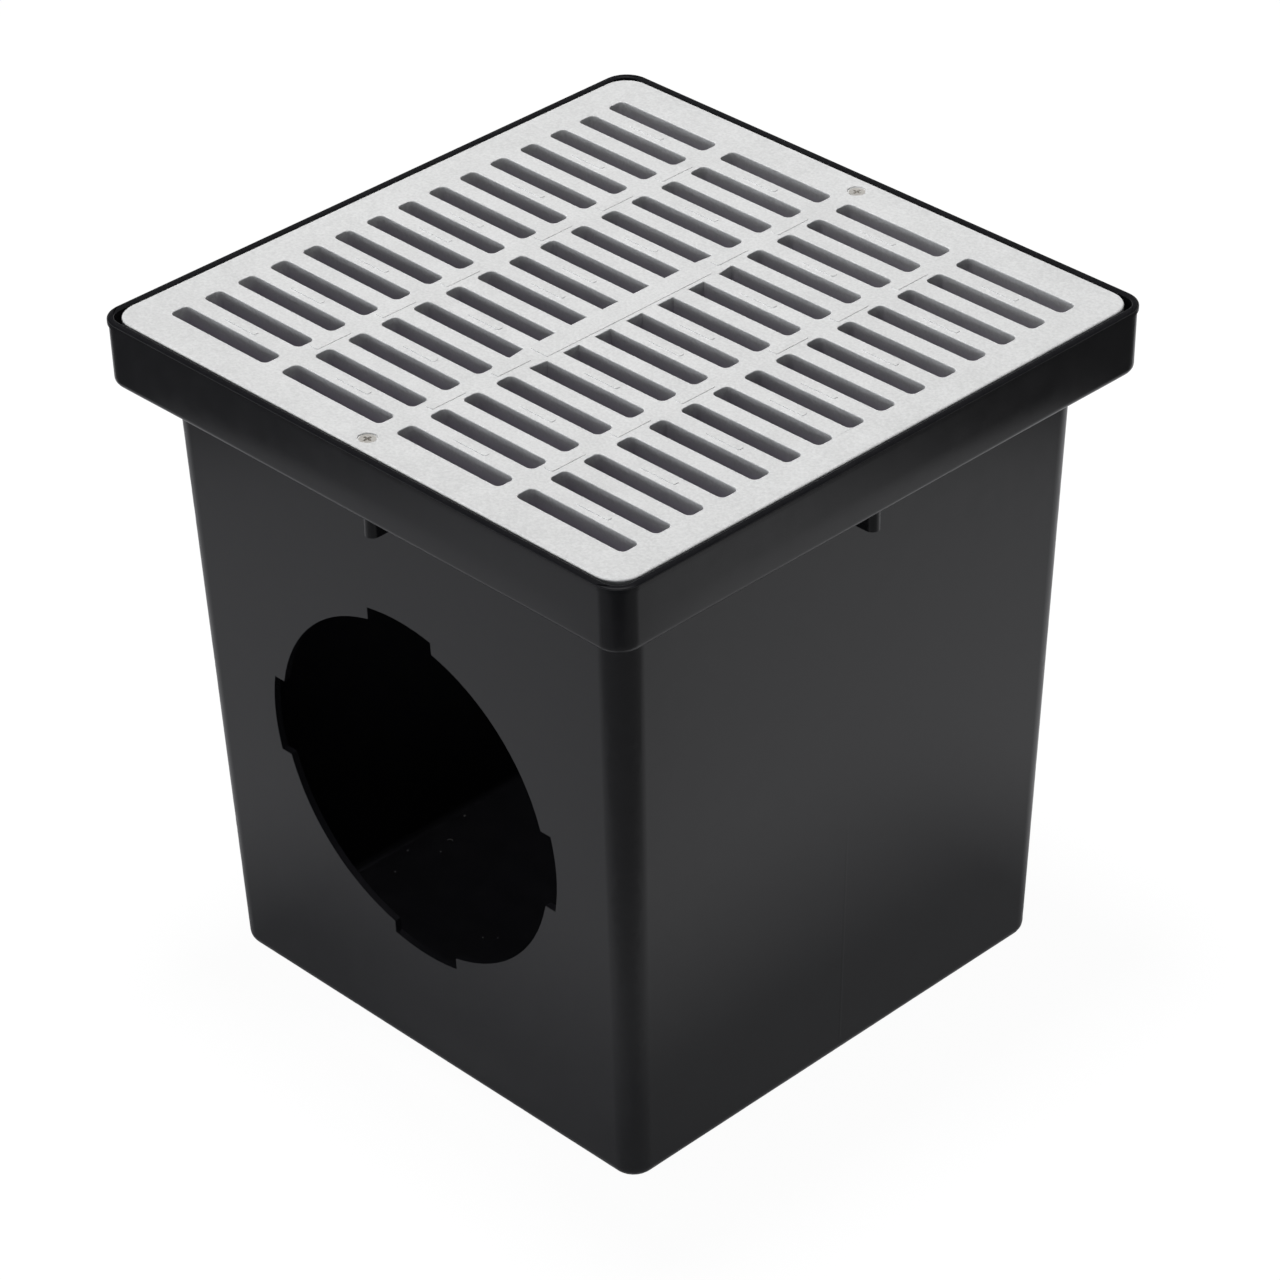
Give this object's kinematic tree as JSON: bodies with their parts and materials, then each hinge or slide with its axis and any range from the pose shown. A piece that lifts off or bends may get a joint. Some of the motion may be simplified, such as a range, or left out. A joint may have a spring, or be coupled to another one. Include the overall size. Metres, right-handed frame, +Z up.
{
  "type": "gully catch basin with slotted grate",
  "caption": "Square plastic drain gully: a drafted open-topped basin with a notched round pipe opening in one wall, under a screwed-down slotted grate.",
  "frame": {"origin": "centre of the basin's underside, on the surface that it stands on", "axes": "+Z up through the grate, X along the grate's slots, -Y towards the wall with the pipe opening"},
  "size_m": [0.3098, 0.3098, 0.3231],
  "materials": {
    "basin_plastic": "black moulded, fine satin grain",
    "grate_plastic": "light grey moulded, fine mottled grain",
    "screw_steel": "bright plated"
  },
  "bodies": {
    "root": {"basin": "basin_plastic", "grate": "grate_plastic", "screw_front": "screw_steel", "screw_rear": "screw_steel"}
  },
  "joints": []
}
